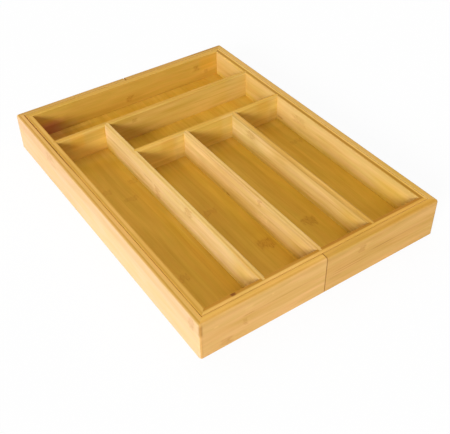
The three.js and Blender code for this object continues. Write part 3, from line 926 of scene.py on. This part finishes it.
def make_cane_group():
    """The bamboo itself: strips of slightly different tone, with streaks, drifts and fine fibres."""
    g, given = new_group(
        "bamboo cane",
        {
            "Vector": ["Board"], "Color": ["Tone"],
            "Float": ("Seed", "Strip width", "Strip joint", "Streaks", "Knuckles"),
        },
        {"Color": ["Color"], "Float": ("Roughness", "Height"), "Vector": ["Grain"]},
    )
    shift = g.add("ShaderNodeVectorMath", {0: SEED_SHIFT, "Scale": given["Seed"]}, operation="SCALE")
    grain = g.vectors("ADD", given["Board"], shift.outputs[0])
    strips = g.group("bamboo strips", {
        "Across": g.split(given["Board"])[2], "Width": given["Strip width"],
        "Joint": given["Strip joint"], "Seed": given["Seed"],
    })
    own = g.times(strips["Strip"], STRIP_SHIFT)
    wander = g.times(g.minus(g.noise(grain, "wander"), 0.5), WANDER)
    strip_grain = g.vectors("ADD", grain, g.add("ShaderNodeCombineXYZ", {0: own, 2: wander}).outputs[0])
    drift, streak, vein = (g.minus(g.noise(strip_grain, name), 0.5) for name in ("drift", "streak", "vein"))
    dashes = g.ramp(g.noise(strip_grain, "fibre"), *FADES["dashes"])
    tone = g.minus(strips["Tone"], 0.5)

    lane = g.times_plus(strips["Strip"], KNUCKLE_STEP, g.split(grain)[0])
    turn = g.maths("FRACT", g.over(lane, KNUCKLE_SPACING))
    knuckle = g.group("bamboo knuckle", {
        "Grain": grain, "Along": g.times(g.minus(turn, 0.5), KNUCKLE_SPACING),
        "Across": strips["From middle"], "Length": KNUCKLE_LENGTH, "Width": given["Strip width"],
    })["Dark"]

    lines = g.plus(g.times_plus(vein, DEEPENS["veins"], streak), drift)
    depth = g.times(g.times(lines, DEEPENS["lines"]), given["Streaks"])
    depth = g.times_plus(tone, DEEPENS["strips"], depth)
    depth = g.times_plus(dashes, DEEPENS["dashes"], depth)
    depth = g.times_plus(strips["Line"], DEEPENS["joint"], depth)
    factor = g.ramp(g.plus(depth, DEEPENS["ground"]), 0.0, 1.0, smooth=False)
    deep = g.mix("MULTIPLY", 1.0, given["Tone"], (*OLIVE, 1.0))
    colour = g.mix("MIX", factor, given["Tone"], deep)
    colour = g.tint(colour, knuckle, given["Knuckles"], BROWN)
    mottle = g.ramp(g.noise(strip_grain, "mottle"), *FADES["mottle"])
    colour = g.mix("MULTIPLY", 1.0, colour, g.mix("MIX", mottle, *MOTTLES))

    rough = g.ramp(g.plus(dashes, streak), *FADES["rough"], *ROUGHNESS, smooth=False)
    height = g.times(streak, HEIGHTS["streaks"])
    height = g.times_plus(dashes, HEIGHTS["dashes"], height)
    height = g.times_plus(strips["Line"], HEIGHTS["joint"], height)
    g.add("NodeGroupOutput", {"Color": colour, "Roughness": rough, "Height": height, "Grain": grain})


def top_bands(node, top):
    """The bands along a board's top, as blocks in its frame: middle, size, softness, tint, strength."""
    for start, end, tint, strength in TOPS.get(node, ()):
        middle = Vector((0, (start + end) / 2 * MM, top))
        size = Vector((ENDLESS, BAND_SPREAD * (end - start) * MM, PATCH_DEPTH * MM))
        yield middle, size, BAND_SOFTNESS, tint, strength


def seam_grain_and_shade(node, x, top):
    """The darker end grain of a board that stops at the seam, with the seam's painted shade, as a block."""
    width, strength = SEAM_GRAIN_AND_SHADE[node]
    return Vector((x, 0, top / 2)), Vector((width * MM, ENDLESS, 2 * top)), END_SOFTNESS, DARK, strength


def on_face(node, place, first, second):
    """A point on the side of a board that shows, in the board's frame, from its two other coordinates."""
    axis = max(range(3), key=lambda i: abs(place.col[1][i]))
    spot = [first * MM, second * MM]
    spot.insert(axis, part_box(node)[1 if axis == 2 else 0][axis])
    return place.inverted() @ Vector(spot)


def own_blocks(node, place):
    """A board's patches and spots, as blocks in its frame."""
    for first, second, length, breadth, tint, strength in PATCHES.get(node, ()):
        size = Vector((length, PATCH_DEPTH, breadth)) * MM
        yield on_face(node, place, first, second), size, SPOT_SOFTNESS, tint, strength
    for middle, size, tint, strength in SPOTS.get(node, ()):
        yield place.inverted() @ (Vector(middle) * MM), Vector(size) * MM, SPOT_SOFTNESS, tint, strength


def bamboo(node, place, slot, number, blocks, knuckles):
    """One board's bamboo, with the blocks of other colour and the knuckles that are its own; many blocks are
    painted shade and light.
    """
    finish = bpy.context.scene.organizer_bamboo
    material = bpy.data.materials.new(f"{node}_bamboo")
    g = new_graph(material)
    board = g.add("ShaderNodeAttribute", attribute_name="board").outputs["Vector"]
    hue, seed, width, joint, streaks = BAMBOOS[slot]
    tone = [part * shade for part, shade in zip(getattr(finish, hue), SHADES.get(node, (1, 1, 1)))]
    cane = g.group("bamboo cane", {
        "Board": board, "Seed": seed + number, "Tone": (*tone, 1.0), "Strip width": width * MM,
        "Strip joint": joint * MM, "Streaks": streaks, "Knuckles": knuckles,
    })
    colour = cane["Color"]
    parts = g.split(board)
    for first, second, length, breadth, tint, strength in KNUCKLES.get(node, ()):
        spot = on_face(node, place, first, second)
        masks = g.group("bamboo knuckle", {
            "Grain": cane["Grain"], "Along": g.minus(parts[0], spot.x),
            "Across": g.minus(parts[2], spot.z), "Length": length * MM, "Width": breadth * MM,
        })
        colour = g.tint(colour, masks["Dark"], strength, tint)
        colour = g.tint(colour, masks["Pale"], HALO_SHARE * strength, PALE)
    for middle, size, softness, tint, strength in (*blocks, *own_blocks(node, place)):
        block = {"Board": board, "Middle": middle, "Size": size, "Softness": softness}
        colour = g.tint(colour, g.group("bamboo patch", block)["Mask"], strength, tint)
    bump = g.add("ShaderNodeBump", {"Height": cane["Height"], "Strength": BUMP, "Distance": FIBRE_HEIGHT})
    surface = g.add("ShaderNodeBsdfPrincipled", {
        "Base Color": colour, "Roughness": cane["Roughness"], "Normal": bump.outputs[0],
        "Specular IOR Level": SHEEN_LEVEL, "Coat Weight": finish.coat, "Coat Roughness": COAT_ROUGHNESS,
    })
    g.add("ShaderNodeOutputMaterial", {"Surface": surface.outputs[0]})
    return material


# Pieces

def make_wall(node, way, slot, number, cutters=(), mitred=(True, True)):
    """One wall of a ring: its rounded and mitred board, its floor groove and what is cut into it."""
    shape = bpy.context.scene.organizer_shape
    gap = shape.far_gap_radius if way in ("right", "back") else shape.gap_radius
    if node in TRAY_RING:
        ring, radii = TRAY_RING, (gap, shape.compartment_radius)
    else:
        ring, radii = OUTER_RING, (shape.rim_radius, gap)
    low, high = wall_box(node, ring)
    for end in (0, 1):
        if not mitred[end]:
            trim_end(way, low, high, end, -shape.seam_close if way == "back" else shape.seam_trim)
    place = placing(way, low, high)
    span, thickness = board_size(way, low, high)
    floor_low, floor_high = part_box(node.split("_")[0] + "_floor")
    reach = floor_high.y - (box_of(ring)[1].y - thickness) + shape.glue_line
    notch = (reach, floor_low.z - shape.glue_line, floor_high.z + shape.glue_line)
    bm = wall_board(shape, span, thickness, low.z, high.z, radii, notch, mitred)
    bm = cut(bm, cutters, place)
    blocks = [*top_bands(node, high.z)]
    blocks += [seam_grain_and_shade(node, x, high.z) for end, x in zip(mitred, (0, span)) if not end]
    finish_board(bm, node, place, slot, number, blocks)


class ORGANIZER_OT_end_walls(bpy.types.Operator):
    """Models the end wall of each half, mitred at both ends"""

    bl_idname = "organizer.end_walls"
    bl_label = "End walls"

    def execute(self, context):
        for number, side in enumerate(("left", "right")):
            make_wall(f"{side}_end_wall", side, "end_wall", number)
        return {"FINISHED"}


class ORGANIZER_OT_half_walls(bpy.types.Operator):
    """Models the front and back walls of each half, from a mitred corner to the seam, with a runner groove"""

    bl_idname = "organizer.half_walls"
    bl_label = "Front and back walls of the halves"

    def execute(self, context):
        shape = context.scene.organizer_shape
        rows = [
            ("left", "front", (True, False)), ("left", "back", (False, True)),
            ("right", "front", (False, True)), ("right", "back", (True, False)),
        ]
        for number, (side, row, mitred) in enumerate(rows):
            cutters = [runner_groove(shape, f"{row}_{side}_runner", f"{side}_half")]
            if row == "back":
                cutters.append(seam_rod(shape))
            make_wall(f"{side}_{row}_wall", row, "half_wall", number, cutters, mitred)
        return {"FINISHED"}


class ORGANIZER_OT_tray_walls(bpy.types.Operator):
    """Models the tray's four mitred walls, with their housings and runner seats"""

    bl_idname = "organizer.tray_walls"
    bl_label = "Tray walls"

    def execute(self, context):
        shape = context.scene.organizer_shape
        for number, side in enumerate(TRAY_SIDES):
            node = f"tray_{side}_wall"
            cutters = housings(shape, node)
            for runner in RUNNERS:
                if runner.startswith(side):
                    cutters.append(key_block(*grown(*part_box(runner), shape.glue_line)))
            make_wall(node, side, "tray_wall", number, cutters)
        return {"FINISHED"}


class ORGANIZER_OT_dividers(bpy.types.Operator):
    """Models the two cross dividers and the three long ones, with round tops and housed ends"""

    bl_idname = "organizer.dividers"
    bl_label = "Dividers"

    def execute(self, context):
        shape = context.scene.organizer_shape
        for number, node in enumerate(CROSS_DIVIDERS + LONG_DIVIDERS):
            low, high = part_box(node)
            way = divider_way(node)
            place = placing(way, low, high)
            bm = divider_board(shape, node)
            put(bm, place.inverted())
            bm = cut(bm, housings(shape, node), place)
            finish_board(bm, node, place, "divider", number, top_bands(node, high.z))
        return {"FINISHED"}


class ORGANIZER_OT_floors(bpy.types.Operator):
    """Models the tray's floor and the floor of each half, glued up from strips that run front to back"""

    bl_idname = "organizer.floors"
    bl_label = "Floors"

    def execute(self, context):
        shape = context.scene.organizer_shape
        for number, node in enumerate(("tray_floor", "left_floor", "right_floor")):
            low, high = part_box(node)
            place = placing("flat", low, high)
            bm = plain_board(high.y - low.y, high.z - low.z, low.x, high.x)
            round_over(bm, crisp(bm.edges[:]), shape.ease / 3, FINE_SEGMENTS)
            knuckles = 0.0 if node == "tray_floor" else FLOOR_KNUCKLES
            finish_board(bm, node, place, "floor", number, knuckles=knuckles)
        return {"FINISHED"}


class ORGANIZER_OT_runners(bpy.types.Operator):
    """Models the four runner keys with half-round ends"""

    bl_idname = "organizer.runners"
    bl_label = "Runner keys"

    def execute(self, context):
        shape = context.scene.organizer_shape
        for number, node in enumerate(RUNNERS):
            low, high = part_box(node)
            place = placing("front", low, high)
            bm = key_block(low, high)
            face = low.y if low.y < 0 else high.y
            round_over(bm, crisp(edges_on(bm, y=face)), shape.ease / 2, FINE_SEGMENTS)
            put(bm, place.inverted())
            finish_board(bm, node, place, "runner", number)
        return {"FINISHED"}


class ORGANIZER_OT_stage(bpy.types.Operator):
    """Sets the white floor, the two soft lamps, the even surroundings and the camera"""

    bl_idname = "organizer.stage"
    bl_label = "Stage"

    def execute(self, context):
        stage = context.scene.organizer_stage
        bm = bmesh.new()
        bmesh.ops.create_grid(bm, x_segments=1, y_segments=1, size=FLOOR_REACH)
        bmesh.ops.translate(bm, verts=bm.verts[:], vec=(0, 0, -FLOOR_DROP))
        ground = as_object(bm, "white_floor")
        ground.data.materials.append(white_floor_material(stage))
        make_world(context.scene, stage)

        turn = stage.key_azimuth - math.pi / 2
        hang_lamp("left_key", stage.key_strength, stage.key_softness, turn, stage.key_elevation)
        turn = math.pi - stage.back_azimuth
        hang_lamp("back_fill", stage.back_strength, stage.back_softness, turn, stage.back_elevation)

        camera = bpy.data.cameras.new("camera")
        camera.lens, camera.sensor_width = stage.camera_lens, SENSOR_WIDTH
        camera.clip_start, camera.clip_end = CLIPPING
        stand = bpy.data.objects.new("camera", camera)
        stand.location = stage.camera_place
        stand.rotation_euler = (
            Matrix.Rotation(stage.camera_azimuth, 4, "Z")
            @ Matrix.Rotation(math.pi / 2 - stage.camera_elevation, 4, "X")
            @ Matrix.Rotation(stage.camera_roll, 4, "Z")
        ).to_euler()
        context.scene.collection.objects.link(stand)
        context.scene.camera = stand
        context.scene.view_settings.view_transform = "Standard"
        return {"FINISHED"}


def hang_lamp(name, strength, softness, turn, elevation):
    """A soft lamp far away, which shines from the front at a turn of 0 and down from its elevation."""
    light = bpy.data.lights.new(name, "SUN")
    light.energy, light.angle = strength, softness
    lamp = bpy.data.objects.new(name, light)
    lamp.rotation_euler = (
        Matrix.Rotation(turn, 4, "Z") @ Matrix.Rotation(math.pi / 2 - elevation, 4, "X")
    ).to_euler()
    bpy.context.scene.collection.objects.link(lamp)


def show_white(g, output, lit, white, share):
    """Mixes a share of white in where a ray comes from the camera, a gloss or glass, not for other light."""
    path = g.add("ShaderNodeLightPath").outputs
    seen = g.maths("MAXIMUM", path["Is Camera Ray"], path["Is Glossy Ray"])
    seen = g.maths("MAXIMUM", seen, path["Is Transmission Ray"])
    both = g.add("ShaderNodeMixShader", {0: g.times(seen, share), 1: lit, 2: white}).outputs[0]
    g.add(output, {"Surface": both})


def white_floor_material(stage):
    material = bpy.data.materials.new("white_floor")
    g = new_graph(material)
    cloth = g.add("ShaderNodeBsdfDiffuse", {"Color": CLOTH}).outputs[0]
    white = g.add("ShaderNodeEmission", {"Color": WHITE, "Strength": 1.0}).outputs[0]
    show_white(g, "ShaderNodeOutputMaterial", cloth, white, 1 - stage.shadow_share)
    return material


def make_world(scene, stage):
    world = bpy.data.worlds.new("even_surroundings")
    g = new_graph(world)
    light = g.add("ShaderNodeBackground", {"Color": WHITE, "Strength": stage.ambient}).outputs[0]
    white = g.add("ShaderNodeBackground", {"Color": WHITE, "Strength": 1.0}).outputs[0]
    show_white(g, "ShaderNodeOutputWorld", light, white, 1)
    scene.world = world


GROUPS = {
    "organizer_shape": OrganizerShape,
    "organizer_bamboo": OrganizerBamboo,
    "organizer_stage": OrganizerStage,
}
STEPS = (
    ORGANIZER_OT_stage, ORGANIZER_OT_end_walls, ORGANIZER_OT_half_walls, ORGANIZER_OT_tray_walls,
    ORGANIZER_OT_dividers, ORGANIZER_OT_floors, ORGANIZER_OT_runners,
)


class ORGANIZER_PT_panel(bpy.types.Panel):
    """Lists the steps that build the organizer, and its sizes and colours"""

    bl_idname = "ORGANIZER_PT_panel"
    bl_label = "Drawer organizer"
    bl_space_type = "VIEW_3D"
    bl_region_type = "UI"
    bl_category = "Organizer"

    def draw(self, context):
        for step in STEPS:
            self.layout.operator(step.bl_idname)
        for name, group in GROUPS.items():
            box = self.layout.box()
            for setting in group.__annotations__:
                box.prop(getattr(context.scene, name), setting)


CLASSES = (*GROUPS.values(), *STEPS, ORGANIZER_PT_panel)


def register():
    for made in CLASSES:
        bpy.utils.register_class(made)
    for name, group in GROUPS.items():
        setattr(bpy.types.Scene, name, bpy.props.PointerProperty(type=group))


def unregister():
    for name in GROUPS:
        delattr(bpy.types.Scene, name)
    for made in reversed(CLASSES):
        bpy.utils.unregister_class(made)


def main():
    register()
    make_strips_group()
    make_knuckle_group()
    make_patch_group()
    make_cane_group()
    bpy.ops.organizer.stage()
    bpy.ops.organizer.end_walls()
    bpy.ops.organizer.half_walls()
    bpy.ops.organizer.tray_walls()
    bpy.ops.organizer.dividers()
    bpy.ops.organizer.floors()
    bpy.ops.organizer.runners()
    bpy.context.view_layer.update()


if __name__ == "__main__":
    main()
